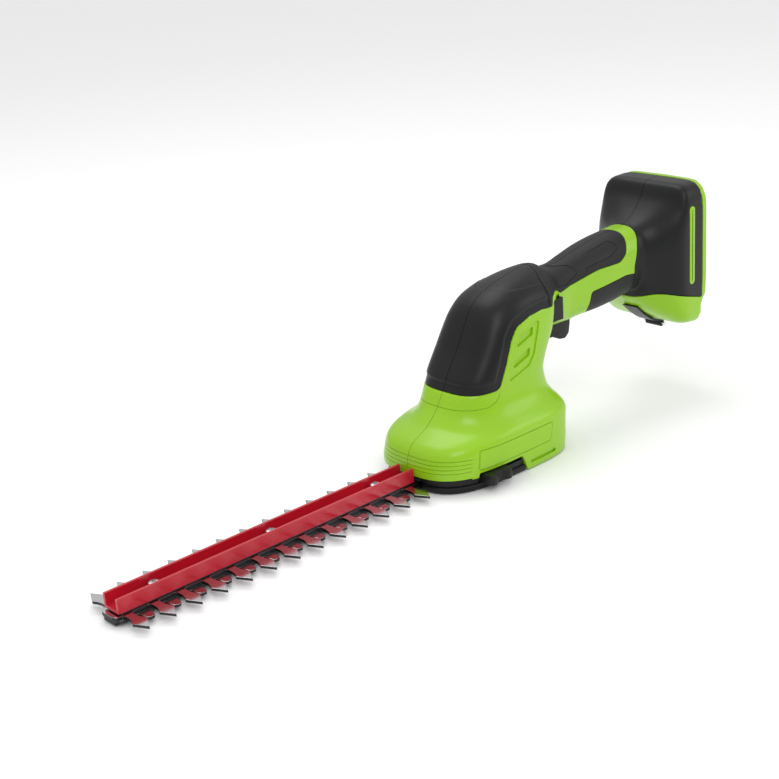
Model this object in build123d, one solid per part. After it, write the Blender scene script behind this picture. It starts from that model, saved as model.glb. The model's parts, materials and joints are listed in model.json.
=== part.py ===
from build123d import *
import os
from math import acos, copysign, cos, pi, radians, sin, tan

os.makedirs("parts", exist_ok=True)

# Cordless hedge trimmer. Millimetres, +Z up. The origin is on the standing surface, under the
# crank gear's axle. The blades point along -X, the battery dock is at +X, and the left and right
# halves of the housing meet on the plane Y = 0. "right" is the -Y side.

# ---- Blade set ----
TOOTH_COUNT = 13
TOOTH_PITCH = 16.0
TOOTH_REACH = 26.4
BARB_REACH = 17.9
BARB_LENGTH = 8.9
TOOTH_TIP_SHIFT = 4.3
NECK_WIDTH = 4.8
NECK_TOP = 12.5
BARB_INNER_REACH = 15.5
NECK_FILLET = 0.8
SPINE_HALF = 7.0
BLADE_THICKNESS = 1.6
BLADE_TOP = 6.0
BLADE_GAP = 0.1
SHORT_TOOTH_REACH = 16.2
SHORT_TOOTH_ROOT = 6.8
SHORT_TOOTH_END = 4.6
SHORT_TOOTH_CHAMFER = 1.2
SHORT_TOOTH_PHASE = 0.54
MOVING_SPINE_HALF = 8.6
SUPPORT_HALF = 5.0
SUPPORT_THICKNESS = 1.5
STROKE = 12.0
CHANNEL_HALF = 6.33
CHANNEL_WALL = 1.6
CHANNEL_HEIGHT = 8.1
CHANNEL_LIFT = 0.9
BLADE_SCREW_FIRST = 29.0
BLADE_SCREW_SPACING = 76.4
BLADE_SCREW_COUNT = 3
BLADE_SCREW_R = 2.0
BLADE_SCREW_HEAD_R = 3.6
BLADE_SCREW_HEAD = 1.9
SPACER_R = 3.0

# ---- Housing ----
BASE_FRONT = -50.7
BASE_REAR = 60.0
BASE_HALF = 38.5
TOWER_HALF = 26.5
WALL = 2.5
SKIRT_BOTTOM = 11.8
FOOT_BOTTOM = 1.0
FOOT_FRONT = 12.0
HEAD_TOP = 109.5
GRIP_START = 72.0
GRIP_LENGTH = 82.0
GRIP_HALF = 17.5
DOCK_DEPTH = 35.0
DOCK_HALF = 34.0
DOCK_PLATE = 3.6
DOCK_PLATE_BOTTOM = 53.0
DOCK_TOP = 138.3
FIT_GAP = 0.3
SLIDE_GAP = 0.25
RUN_GAP = 0.05

# ---- Drive ----
GEAR_MODULE = 0.8
GEAR_TEETH = 54
PINION_TEETH = 12
GEAR_BOTTOM = 16.0
GEAR_THICKNESS = 6.0
GEAR_BACKLASH = 0.16
AXLE_R = 3.0
BUSH_R = 5.0
CRANK_PIN_R = 2.5
PLATE_BOTTOM = 24.0
PLATE_THICKNESS = 3.0
MOTOR_R = 18.2
MOTOR_LENGTH = 52.0
MOTOR_SHELL = 1.4
MOTOR_SHAFT_R = 1.6

# ---- Controls ----
LATCH_CENTRE = -16.0
LATCH_LENGTH = 18.0
LATCH_REACH = 44.0
LATCH_BOTTOM = 5.0
LATCH_TOP = 11.2
TRIGGER_HALF = 6.0
BATTERY_LATCH_HALF = 6.0

# ---- Worked-out places ----
BLADE_ROOT = BASE_FRONT - 2.4
FIRST_TOOTH = BLADE_ROOT - BARB_LENGTH - (TOOTH_COUNT - 1) * TOOTH_PITCH
BLADE_FRONT = FIRST_TOOTH - 3.0
UPPER_BOTTOM = BLADE_TOP - BLADE_THICKNESS
LOWER_TOP = UPPER_BOTTOM - BLADE_GAP
LOWER_BOTTOM = LOWER_TOP - BLADE_THICKNESS
SUPPORT_TOP = LOWER_BOTTOM - BLADE_GAP
SUPPORT_BOTTOM = SUPPORT_TOP - SUPPORT_THICKNESS
CHANNEL_BOTTOM = BLADE_TOP + CHANNEL_LIFT
CHANNEL_REAR = BASE_FRONT - FIT_GAP
GRIP_END = GRIP_START + GRIP_LENGTH
DOCK_REAR = GRIP_END + DOCK_DEPTH
CRANK_R = STROKE / 2
GEAR_PITCH_R = GEAR_MODULE * GEAR_TEETH / 2
PINION_PITCH_R = GEAR_MODULE * PINION_TEETH / 2
MOTOR_X = GEAR_PITCH_R + PINION_PITCH_R
PLATE_TOP = PLATE_BOTTOM + PLATE_THICKNESS
MOTOR_TOP = PLATE_TOP + MOTOR_LENGTH

OUTLINE_POINTS = 24


def write(name, *solids):
    """Write one node, as one solid or as a group of separate solids."""
    pieces = [piece for shape in solids for piece in shape.solids()]
    shape = pieces[0] if len(pieces) == 1 else Compound(children=pieces)
    export_step(shape, f"parts/{name}.step")


def box(x, y, z):
    """A box between two values on each axis."""
    size = (x[1] - x[0], y[1] - y[0], z[1] - z[0])
    centre = ((x[0] + x[1]) / 2, (y[0] + y[1]) / 2, (z[0] + z[1]) / 2)
    return Pos(*centre) * Box(*size)


def disc(x, y, radius, bottom, top):
    """A cylinder along Z."""
    return Pos(x, y, (bottom + top) / 2) * Cylinder(radius, top - bottom)


def ring(x, y, outer, inner, bottom, top):
    """A tube along Z."""
    return disc(x, y, outer, bottom, top) - disc(x, y, inner, bottom - 1, top + 1)


def rod_y(x, z, radius, low, high):
    """A cylinder along Y."""
    return Pos(x, (low + high) / 2, z) * Rot(90, 0, 0) * Cylinder(radius, high - low)


def rod_x(y, z, radius, low, high):
    """A cylinder along X."""
    return Pos((low + high) / 2, y, z) * Rot(0, 90, 0) * Cylinder(radius, high - low)


def flat(points, bottom, top):
    """An outline in X and Y, extruded along Z."""
    face = Face(Wire.make_polygon([(x, y, bottom) for x, y in points]))
    return extrude(face, amount=top - bottom, dir=(0, 0, 1))


def side(points, low, high):
    """An outline in X and Z, extruded along Y."""
    face = Face(Wire.make_polygon([(x, low, z) for x, z in points]))
    return extrude(face, amount=high - low, dir=(0, 1, 0))


def signed_power(value, exponent):
    return copysign(abs(value) ** exponent, value)


def spline_loop(points):
    count = len(points)
    steps = [i / count for i in range(count + 1)]
    return Wire([Edge.make_spline(points, periodic=True, parameters=steps)])


def level_loop(z, front, rear, half, front_power, rear_power, inset):
    """A superellipse at height z, squarer at one end than at the other."""
    points = []
    for i in range(OUTLINE_POINTS):
        angle = 2 * pi * i / OUTLINE_POINTS
        shape = 2 / (rear_power if cos(angle) > 0 else front_power)
        x = (front + rear) / 2 + ((rear - front) / 2 - inset) * signed_power(cos(angle), shape)
        points.append((x, (half - inset) * signed_power(sin(angle), shape), z))
    return spline_loop(points)


def cross_loop(x, top, bottom, half, shape_power, inset):
    """A superellipse across the grip or the dock, at one place along X."""
    points = []
    for i in range(OUTLINE_POINTS):
        angle = 2 * pi * i / OUTLINE_POINTS
        y = (half - inset) * signed_power(cos(angle), 2 / shape_power)
        height = ((top - bottom) / 2 - inset) * signed_power(sin(angle), 2 / shape_power)
        points.append((x, y, (top + bottom) / 2 + height))
    return spline_loop(points)


# ---- Outer form: head, grip and dock ----
def neck_half(share):
    """Half width where the base narrows into the tower: share 1 is the base, 0 the tower."""
    return TOWER_HALF + (BASE_HALF - TOWER_HALF) * share


def head_levels():
    """Height, front, rear, half width and squareness of each level of the head."""
    return [
        (0.0, BASE_FRONT + 2.2, BASE_REAR, BASE_HALF - 1.5, 3.2, 4.5),
        (12.0, BASE_FRONT, BASE_REAR, BASE_HALF, 3.2, 4.5),
        (23.0, BASE_FRONT + 2.2, BASE_REAR, BASE_HALF - 0.2, 3.2, 4.5),
        (33.0, BASE_FRONT + 12.7, BASE_REAR - 4.5, neck_half(0.58), 2.8, 3.5),
        (39.0, BASE_FRONT + 18.2, BASE_REAR - 7.5, neck_half(0.31), 2.6, 3.0),
        (53.0, -25.6, 53.0, TOWER_HALF, 2.5, 3.0),
        (69.0, -15.0, 62.0, TOWER_HALF - 0.3, 2.5, 3.0),
        (84.0, -5.0, 69.5, TOWER_HALF - 1.2, 2.5, 3.0),
        (98.3, 13.5, 74.0, TOWER_HALF - 5.0, 2.3, 2.8),
        (105.0, 34.0, 74.0, TOWER_HALF - 10.5, 2.2, 2.6),
        (HEAD_TOP, 50.0, 68.0, TOWER_HALF - 19.5, 2.0, 2.0),
    ]


def head(inset, top_inset=0.0):
    """The head as a solid, drawn in by inset and cut off at the top."""
    loops = [level_loop(*level, inset) for level in head_levels()]
    solid = Solid.make_loft(loops)
    if top_inset > 0:
        solid -= box((-200, 200), (-100, 100), (HEAD_TOP - top_inset, HEAD_TOP + 10))
    return solid


def grip_levels():
    """Place, top, bottom, half width and squareness of each section of the grip."""
    return [
        (GRIP_START - 17, 101.0, 70.0, GRIP_HALF, 2.6),
        (GRIP_START, 104.6, 68.0, GRIP_HALF - 0.7, 2.6),
        (GRIP_START + GRIP_LENGTH * 0.13, 104.4, 67.5, GRIP_HALF - 2.8, 2.6),
        (GRIP_START + GRIP_LENGTH * 0.29, 107.3, 68.0, GRIP_HALF - 2.0, 2.6),
        (GRIP_START + GRIP_LENGTH * 0.48, 110.3, 68.0, GRIP_HALF - 0.5, 2.6),
        (GRIP_START + GRIP_LENGTH * 0.66, 112.2, 68.5, GRIP_HALF, 2.6),
        (GRIP_START + GRIP_LENGTH * 0.84, 113.2, 70.5, GRIP_HALF, 2.6),
        (GRIP_END, 114.6, 72.0, GRIP_HALF, 2.6),
        (GRIP_END + 8, 115.5, 73.0, GRIP_HALF, 2.6),
    ]


def grip(inset):
    return Solid.make_loft([cross_loop(*level, inset) for level in grip_levels()])


def dock_levels():
    """Place, top, bottom, half width and squareness of each section of the dock."""
    return [
        (GRIP_END - 4, DOCK_TOP - 24.8, 66.0, GRIP_HALF, 2.6),
        (GRIP_END + 3, DOCK_TOP - 21.3, 59.0, DOCK_HALF - 10, 3.0),
        (GRIP_END + 14, DOCK_TOP - 11.3, 50.0, DOCK_HALF - 1.5, 4.0),
        (GRIP_END + 24, DOCK_TOP - 1.5, 44.5, DOCK_HALF, 5.0),
        (DOCK_REAR, DOCK_TOP, 43.0, DOCK_HALF, 5.0),
    ]


def dock(inset, rear_extra=0.0):
    loops = [cross_loop(*level, inset) for level in dock_levels()]
    solid = Solid.make_loft(loops)
    if rear_extra:
        last = dock_levels()[-1]
        solid += extrude(Face(cross_loop(*last, inset)), amount=rear_extra, dir=(1, 0, 0))
    return solid


outer = head(0.0) + grip(0.0) + dock(0.0)
inner = head(WALL, WALL) + grip(WALL) + dock(WALL, 1.0)
shell = outer - inner
RIGHT = box((-300, 300), (-100, 0), (-20, 200))
LEFT = box((-300, 300), (0, 100), (-20, 200))


# ---- Cuts in the shell ----
TRIGGER_X = GRIP_START - 6.0
TRIGGER_Z = 78.0
SLOT_FRONT = GRIP_START - 8.7
SLOT_REAR = GRIP_START + 20.3
LOCK_X = GRIP_START - 8.5
LOCK_Z = 83.0
LOCK_LENGTH = 11.0
LOCK_HEIGHT = 14.0
VENT_LENGTH = 18.0
VENT_HEIGHT = 4.5
VENT_PLACES = [(27.4, 77.0), (23.6, 65.2)]
VENT_SLOPE = 18.0
STRIP_X = DOCK_REAR - 11.5
STRIP_LOW = 76.0
STRIP_HIGH = 122.0
STRIP_HALF = 2.6


def vent(x, z, low, high):
    """One slanted vent slot with round ends, cut through the side of the tower."""
    slot = Box(VENT_LENGTH - VENT_HEIGHT, high - low, VENT_HEIGHT)
    for end in (-1, 1):
        place = Pos(end * (VENT_LENGTH - VENT_HEIGHT) / 2, 0, 0) * Rot(90, 0, 0)
        slot += place * Cylinder(VENT_HEIGHT / 2, high - low)
    return Pos(x, (low + high) / 2, z) * Rot(0, -VENT_SLOPE, 0) * slot


def strip(half, low, high):
    """The round-ended strip on the side of the dock."""
    body = box((STRIP_X - half, STRIP_X + half), (low, high), (STRIP_LOW, STRIP_HIGH))
    body += rod_y(STRIP_X, STRIP_LOW, half, low, high)
    return body + rod_y(STRIP_X, STRIP_HIGH, half, low, high)


def lock_window(gap, low, high):
    x = (LOCK_X - LOCK_LENGTH / 2 - gap, LOCK_X + LOCK_LENGTH / 2 + gap)
    return box(x, (low, high), (LOCK_Z - LOCK_HEIGHT / 2 - gap, LOCK_Z + LOCK_HEIGHT / 2 + gap))


shell -= box((BASE_FRONT - 5, FOOT_FRONT), (-60, 60), (-1, SKIRT_BOTTOM))
shell -= box((FOOT_FRONT - 1, BASE_REAR + 5), (-60, 60), (-1, FOOT_BOTTOM))
trigger_slot_half = TRIGGER_HALF + 2 * SLIDE_GAP
shell -= box((SLOT_FRONT, SLOT_REAR), (-trigger_slot_half, trigger_slot_half), (55, 75))
for side_sign in (-1, 1):
    reach = sorted((side_sign * 12, side_sign * 40))
    shell -= lock_window(FIT_GAP + 0.1, *reach)
    for vent_x, vent_z in VENT_PLACES:
        shell -= vent(vent_x, vent_z, *sorted((side_sign * 19, side_sign * 40)))
    shell -= strip(STRIP_HALF + SLIDE_GAP, *sorted((side_sign * 30, side_sign * 40)))

# ---- The shell's separate covers, split along outlines seen from the side ----
COVER_REAR = GRIP_START - 11.4
COVER_OUTLINE = [
    (-60, 52.5), (-7, 51), (3, 55), (9.4, 62.5), (14, 75), (17.5, 84.5),
    (24, 91), (32.5, 92.5), (52, 89), (COVER_REAR, 91), (COVER_REAR, 130), (-60, 130),
]
SOFT_GRIP_OUTLINE = [
    (COVER_REAR, 91), (GRIP_START + 15, 93.8), (GRIP_START + 34, 97.3), (GRIP_END - 25, 98),
    (GRIP_END - 21, 104), (GRIP_END - 14.5, 113.5), (GRIP_END - 14.5, 130), (COVER_REAR, 130),
]
LOWER_GRIP_OUTLINE = [
    (GRIP_START + 29, 60), (GRIP_START + 26, 84.5), (GRIP_START + 35, 86), (GRIP_END - 22, 88.5),
    (GRIP_END - 14, 88.5), (GRIP_END - 14, 60),
]
DOCK_OUTLINE = [
    (GRIP_END - 14, 60), (GRIP_END - 14, 94.4), (GRIP_END - 10, 104.6), (GRIP_END - 2.3, 116),
    (GRIP_END - 2.3, 150), (DOCK_REAR + 5, 150), (DOCK_REAR + 5, 61), (GRIP_END + 3, 70.5),
]
DOCK_BASE_OUTLINE = [
    (GRIP_END - 14, 60), (GRIP_END + 3, 70.5), (DOCK_REAR + 5, 61),
    (DOCK_REAR + 5, 30), (GRIP_END - 14, 30),
]
zones = {
    "motor_cover": side(COVER_OUTLINE, -60, 60),
    "soft_grip": side(SOFT_GRIP_OUTLINE, -60, 60),
    "lower_grip": side(LOWER_GRIP_OUTLINE, -60, 60),
    "dock_cover": side(DOCK_OUTLINE, -60, 60),
    "dock_base": side(DOCK_BASE_OUTLINE, -60, 60),
}
covers = {name: shell & zone for name, zone in zones.items()}
housing = shell
for zone in zones.values():
    housing -= zone
for name in ("motor_cover", "soft_grip", "dock_cover"):
    write(name + "_right", covers[name] & RIGHT)
    write(name + "_left", covers[name] & LEFT)
write("lower_grip", covers["lower_grip"])

# ---- Housing halves with their screw bosses ----
BOSS_R = 3.6
SCREW_R = 1.4
SCREW_HEAD_R = 2.6
SCREW_HEAD = 2.0
SCREW_OUTER = 9.0
SCREW_INNER = 7.0
HOUSING_SCREWS = [
    (BASE_FRONT + 14, 19), (BASE_REAR - 8, 18), (-14, 44), (GRIP_START - 22, 66), (GRIP_START + 40, 92),
]
DOCK_SCREWS = [(GRIP_END + 14, 60)]


def write_halves(name, body, places):
    """Split a body on Y = 0 and join the halves with screws put in from the left."""
    left = body & LEFT
    right = body & RIGHT
    for x, z in places:
        left += rod_y(x, z, BOSS_R, 0, 40) & inner
        left -= rod_y(x, z, SCREW_R + RUN_GAP, -1, SCREW_OUTER + 1)
        left -= rod_y(x, z, SCREW_HEAD_R + RUN_GAP, SCREW_OUTER, 60)
        boss = rod_y(x, z, BOSS_R, -40, 0) & inner
        right += boss - rod_y(x, z, SCREW_R + RUN_GAP, -SCREW_INNER - 1, 1)
    write(name + "_left", left)
    write(name + "_right", right)


write_halves("housing", housing, HOUSING_SCREWS)
write_halves("dock_base", covers["dock_base"], DOCK_SCREWS)
screws = []
for x, z in HOUSING_SCREWS + DOCK_SCREWS:
    screw_head = rod_y(x, z, SCREW_HEAD_R, SCREW_OUTER, SCREW_OUTER + SCREW_HEAD)
    screws.append(screw_head + rod_y(x, z, SCREW_R, -SCREW_INNER, SCREW_OUTER))
write("housing_screws", *screws)

# ---- Label plates on the flanks of the base ----
LABEL_X = (-26.0, 34.0)
LABEL_Z = (14.5, 25.0)
label_skin = (head(-0.6) - head(-0.02)) & box(LABEL_X, (-60, 60), LABEL_Z)
write("label_right", label_skin & RIGHT)
write("label_left", label_skin & LEFT)


# ---- Blade set ----
def tooth_starts(count):
    return [FIRST_TOOTH + i * TOOTH_PITCH for i in range(count)]


def long_teeth_edge():
    """The fixed blade's edge on the +Y side, from front to rear."""
    setback = (BARB_LENGTH - NECK_WIDTH) / 2
    root = SPINE_HALF + 1.5 * NECK_FILLET
    points = []
    for x in tooth_starts(TOOTH_COUNT):
        front = x + setback
        rear = x + BARB_LENGTH - setback
        points += [(front - NECK_FILLET, SPINE_HALF), (front, root), (front, NECK_TOP)]
        points += [(front - NECK_FILLET, BARB_INNER_REACH), (x, BARB_REACH)]
        points += [(x + TOOTH_TIP_SHIFT, TOOTH_REACH)]
        points += [(x + BARB_LENGTH, BARB_REACH), (rear + NECK_FILLET, BARB_INNER_REACH)]
        points += [(rear, NECK_TOP), (rear, root), (rear + NECK_FILLET, SPINE_HALF)]
    return points


def short_teeth_edge():
    """The moving blade's edge on the +Y side, from front to rear."""
    points = []
    for x in tooth_starts(TOOTH_COUNT - 1):
        middle = x + TOOTH_TIP_SHIFT + TOOTH_PITCH * SHORT_TOOTH_PHASE
        root = SHORT_TOOTH_ROOT / 2
        end = SHORT_TOOTH_END / 2
        corner = SHORT_TOOTH_REACH - SHORT_TOOTH_CHAMFER
        nose = end - SHORT_TOOTH_CHAMFER
        points += [(middle - root, MOVING_SPINE_HALF), (middle - end, corner)]
        points += [(middle - nose, SHORT_TOOTH_REACH), (middle + nose, SHORT_TOOTH_REACH)]
        points += [(middle + end, corner), (middle + root, MOVING_SPINE_HALF)]
    return points


def mirrored(edge):
    return edge + [(x, -y) for x, y in reversed(edge)]


def long_slot(x, half_length, half_width, bottom, top):
    """A round-ended slot along X."""
    straight = half_length - half_width
    body = box((x - straight, x + straight), (-half_width, half_width), (bottom, top))
    body += disc(x - straight, 0, half_width, bottom, top)
    return body + disc(x + straight, 0, half_width, bottom, top)


BLADE_SCREW_FRONT = BLADE_FRONT + BLADE_SCREW_FIRST
BLADE_SCREWS = [BLADE_SCREW_FRONT + i * BLADE_SCREW_SPACING for i in range(BLADE_SCREW_COUNT)]
TANG_REAR = BASE_FRONT + 22.0
TANG_HALF = 18.0
TANG_SCREW_X = BASE_FRONT + 16.5
TANG_SCREW_Y = 13.2
TANG_SCREW_R = 1.5
CRANK_LEAD = 0.2105 * CRANK_R  # how far a sine leads a steady slide over the same half turn
YOKE_SLOT_HALF = CRANK_PIN_R + CRANK_LEAD + FIT_GAP
YOKE_SLOT_REACH = CRANK_R + CRANK_PIN_R + 2 * FIT_GAP
YOKE_HALF_LENGTH = YOKE_SLOT_HALF + 4.0
YOKE_HALF_WIDTH = YOKE_SLOT_REACH + 4.0
YOKE_HEIGHT = 4.6

fixed_edge = [(BLADE_FRONT, 4.5), (BLADE_FRONT + 1.5, SPINE_HALF)] + long_teeth_edge()
fixed_edge += [(BASE_FRONT + 10, SPINE_HALF), (BASE_FRONT + 11, TANG_HALF), (TANG_REAR, TANG_HALF)]
upper_blade = flat(mirrored(fixed_edge), UPPER_BOTTOM, BLADE_TOP)
for x in BLADE_SCREWS:
    upper_blade -= disc(x, 0, BLADE_SCREW_R + RUN_GAP, 0, 10)
for y in (-TANG_SCREW_Y, TANG_SCREW_Y):
    upper_blade -= disc(TANG_SCREW_X, y, TANG_SCREW_R + RUN_GAP, 0, 10)
write("upper_blade", upper_blade)

moving_edge = [(BLADE_FRONT + 1, 5.5), (BLADE_FRONT + 3, MOVING_SPINE_HALF)] + short_teeth_edge()
moving_edge += [(-YOKE_HALF_LENGTH - 3, MOVING_SPINE_HALF), (-YOKE_HALF_LENGTH, YOKE_HALF_WIDTH)]
moving_edge += [(YOKE_HALF_LENGTH, YOKE_HALF_WIDTH)]
lower_blade = flat(mirrored(moving_edge), LOWER_BOTTOM, LOWER_TOP)
for x in BLADE_SCREWS:
    lower_blade -= long_slot(x, STROKE / 2 + SPACER_R + 0.5, SPACER_R + SLIDE_GAP, 0, 10)
yoke_slot = box((-YOKE_SLOT_HALF, YOKE_SLOT_HALF), (-YOKE_SLOT_REACH, YOKE_SLOT_REACH), (0, 20))
write("lower_blade", lower_blade - yoke_slot)
yoke = box((-YOKE_HALF_LENGTH, YOKE_HALF_LENGTH), (-YOKE_HALF_WIDTH, YOKE_HALF_WIDTH),
           (LOWER_TOP, LOWER_TOP + YOKE_HEIGHT))
write("drive_yoke", yoke - yoke_slot)

support_bar = box((BLADE_FRONT + 1, CHANNEL_REAR - FIT_GAP), (-SUPPORT_HALF, SUPPORT_HALF),
                  (SUPPORT_BOTTOM, SUPPORT_TOP))
shim_half = CHANNEL_HALF - 1
shim = box((FIRST_TOOTH + 2, CHANNEL_REAR), (-shim_half, shim_half), (BLADE_TOP, CHANNEL_BOTTOM))
channel = box((FIRST_TOOTH, CHANNEL_REAR), (-CHANNEL_HALF, CHANNEL_HALF),
              (CHANNEL_BOTTOM, CHANNEL_BOTTOM + CHANNEL_HEIGHT))
channel_inner = CHANNEL_HALF - CHANNEL_WALL
channel -= box((FIRST_TOOTH - 1, CHANNEL_REAR + 1), (-channel_inner, channel_inner),
               (CHANNEL_BOTTOM + CHANNEL_WALL, CHANNEL_BOTTOM + CHANNEL_HEIGHT + 1))
web_top = CHANNEL_BOTTOM + CHANNEL_WALL
blade_screws = []
spacers = []
for x in BLADE_SCREWS:
    hole = disc(x, 0, BLADE_SCREW_R + RUN_GAP, 0, 20)
    support_bar -= hole
    shim -= hole
    channel -= hole
    screw = disc(x, 0, BLADE_SCREW_R, SUPPORT_BOTTOM, web_top)
    pan = disc(x, 0, BLADE_SCREW_HEAD_R, web_top, web_top + BLADE_SCREW_HEAD)
    pan = fillet(pan.edges().group_by(Axis.Z)[-1], 0.8)
    pan -= disc(x, 0, 1.3, web_top + BLADE_SCREW_HEAD - 1, web_top + BLADE_SCREW_HEAD + 1)
    blade_screws.append(screw + pan)
    spacers.append(ring(x, 0, SPACER_R, BLADE_SCREW_R + RUN_GAP, SUPPORT_TOP, UPPER_BOTTOM))
write("support_bar", support_bar)
write("channel_shim", shim)
write("blade_channel", channel)
write("blade_screws", *blade_screws)
write("blade_spacers", *spacers)

# ---- Blade carrier under the housing ----
CARRIER_INSET = 0.8
CARRIER_WALL = 3.0
CARRIER_FLOOR = 1.5
CARRIER_REAR_INSET = WALL + FIT_GAP
slab = box((-100, 100), (-60, 60), (0, SKIRT_BOTTOM))
front_slab = box((-100, FOOT_FRONT - FIT_GAP), (-60, 60), (0, SKIRT_BOTTOM))
carrier = (head(CARRIER_INSET) & front_slab) + (head(CARRIER_REAR_INSET) & slab)
carrier -= head(CARRIER_REAR_INSET + CARRIER_WALL) & box((-100, 100), (-60, 60), (CARRIER_FLOOR, 20))
carrier -= box((BASE_FRONT - 5, BASE_FRONT + 12), (-MOVING_SPINE_HALF - 0.6, MOVING_SPINE_HALF + 0.6),
               (LOWER_BOTTOM - FIT_GAP, BLADE_TOP + FIT_GAP))
latch_x = (LATCH_CENTRE - LATCH_LENGTH / 2, LATCH_CENTRE + LATCH_LENGTH / 2)
latch_window_x = (latch_x[0] - FIT_GAP, latch_x[1] + FIT_GAP)
carrier -= box(latch_window_x, (-60, 60), (LATCH_BOTTOM - FIT_GAP, SKIRT_BOTTOM + 1))
SPRING_POST = 22.5
POST_DEPTH = 2.0
POST_TOP = 10.0
TANG_BOSS_R = 4.0
TANG_HEAD_R = 2.8
TANG_HEAD = 1.8
LATCH_FLANGE = 29.2
LATCH_FLANGE_DEPTH = 2.3
tang_screws = []
for sign in (-1, 1):
    post_y = sorted((sign * SPRING_POST, sign * (SPRING_POST - POST_DEPTH)))
    carrier += box((LATCH_CENTRE - 5, LATCH_CENTRE + 5), post_y, (CARRIER_FLOOR, POST_TOP))
    screw_y = sign * TANG_SCREW_Y
    bore = TANG_SCREW_R + RUN_GAP
    carrier += ring(TANG_SCREW_X, screw_y, TANG_BOSS_R, bore, CARRIER_FLOOR, UPPER_BOTTOM)
    shank = disc(TANG_SCREW_X, screw_y, TANG_SCREW_R, CARRIER_FLOOR + 0.5, BLADE_TOP)
    tang_head = disc(TANG_SCREW_X, screw_y, TANG_HEAD_R, BLADE_TOP, BLADE_TOP + TANG_HEAD)
    tang_screws.append(shank + tang_head)
write("blade_carrier", carrier)
write("tang_screws", *tang_screws)


# ---- Springs, as coils of round wire ----
def coil(radius, wire, length, turns):
    """A compression spring standing on Z = 0, along +Z."""
    pitch = (length - 2 * wire) / turns
    path = Helix(pitch, pitch * turns, radius)
    start = Plane(origin=path @ 0, z_dir=path % 0)
    return Pos(0, 0, wire) * sweep(start * Circle(wire), path=path)


SPRING_WIRE = 0.5
LATCH_SPRING_R = 2.4
LATCH_SPRING_Z = 6.5
COIL_TURNS = 5
for side_name, sign in (("right", -1), ("left", 1)):
    flange_y = sorted((sign * LATCH_FLANGE, sign * (LATCH_FLANGE + LATCH_FLANGE_DEPTH)))
    flange = box((latch_x[0] - 4, latch_x[1] + 4), flange_y, (CARRIER_FLOOR + FIT_GAP, LATCH_TOP))
    flange &= head(CARRIER_REAR_INSET + CARRIER_WALL + FIT_GAP)
    rim = LATCH_FLANGE + 1.0
    tab_points = [
        (latch_x[0], rim), (latch_x[0], LATCH_REACH - 4), (latch_x[0] + 3, LATCH_REACH - 0.4),
        (LATCH_CENTRE - 3, LATCH_REACH - 1.8), (LATCH_CENTRE + 3, LATCH_REACH - 1.8),
        (latch_x[1] - 3, LATCH_REACH - 0.4), (latch_x[1], LATCH_REACH - 4), (latch_x[1], rim),
    ]
    tab = flat([(x, sign * y) for x, y in tab_points], LATCH_BOTTOM, LATCH_TOP)
    write("latch_tab_" + side_name, flange + tab)
    spring = coil(LATCH_SPRING_R, SPRING_WIRE, LATCH_FLANGE - SPRING_POST, COIL_TURNS)
    turn = Rot(-90 * sign, 0, 0)
    place = Pos(LATCH_CENTRE, sign * SPRING_POST, LATCH_SPRING_Z)
    write("latch_spring_" + side_name, place * turn * spring)

# ---- Crank gear, axle and pinion ----
PRESSURE_ANGLE = radians(20)
ADDENDUM = 0.75
DEDENDUM = 1.0
HUB_R = 7.5
GEAR_RECESS = (10.0, 18.0, 1.5)


def gear_outline(teeth, turn):
    """Involute teeth as a closed outline; turn is the angle of the first tooth's middle."""
    pitch_r = GEAR_MODULE * teeth / 2
    base_r = pitch_r * cos(PRESSURE_ANGLE)
    tip_r = pitch_r + ADDENDUM
    root_r = pitch_r - DEDENDUM
    half_tooth = (pi / 2 - GEAR_BACKLASH / GEAR_MODULE) / teeth
    involute_at_pitch = tan(PRESSURE_ANGLE) - PRESSURE_ANGLE
    radii = [max(base_r, root_r) + (tip_r - max(base_r, root_r)) * i / 4 for i in range(5)]
    flank = []
    for radius in radii:
        roll = acos(min(1.0, base_r / radius))
        flank.append((radius, half_tooth + involute_at_pitch - (tan(roll) - roll)))
    flank = [(root_r, flank[0][1])] + flank if root_r < base_r else flank
    points = []
    for i in range(teeth):
        middle = turn + 2 * pi * i / teeth
        points += [(radius * cos(middle - a), radius * sin(middle - a)) for radius, a in flank]
        points += [(radius * cos(middle + a), radius * sin(middle + a)) for radius, a in reversed(flank)]
    return points


gear_top = GEAR_BOTTOM + GEAR_THICKNESS
recess_inner, recess_outer, recess_depth = GEAR_RECESS
pin_top = gear_top - recess_depth
gear = flat(gear_outline(GEAR_TEETH, 0.0), GEAR_BOTTOM, gear_top)
gear += disc(0, 0, HUB_R, GEAR_BOTTOM - 1, gear_top + 1)
gear -= disc(0, 0, AXLE_R, 0, 40)
gear -= ring(0, 0, recess_outer, recess_inner, pin_top, gear_top + 1)
gear -= disc(0, -CRANK_R, CRANK_PIN_R, GEAR_BOTTOM - 2, pin_top)
write("crank_gear", gear)
write("crank_pin", disc(0, -CRANK_R, CRANK_PIN_R, LOWER_BOTTOM - 0.4, pin_top))
pinion_bottom = GEAR_BOTTOM - 0.5
pinion_points = gear_outline(PINION_TEETH, pi + pi / PINION_TEETH)
pinion = flat(pinion_points, pinion_bottom, gear_top + 0.5)
write("pinion", Pos(MOTOR_X, 0, 0) * (pinion - disc(0, 0, MOTOR_SHAFT_R, 0, 40)))

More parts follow.
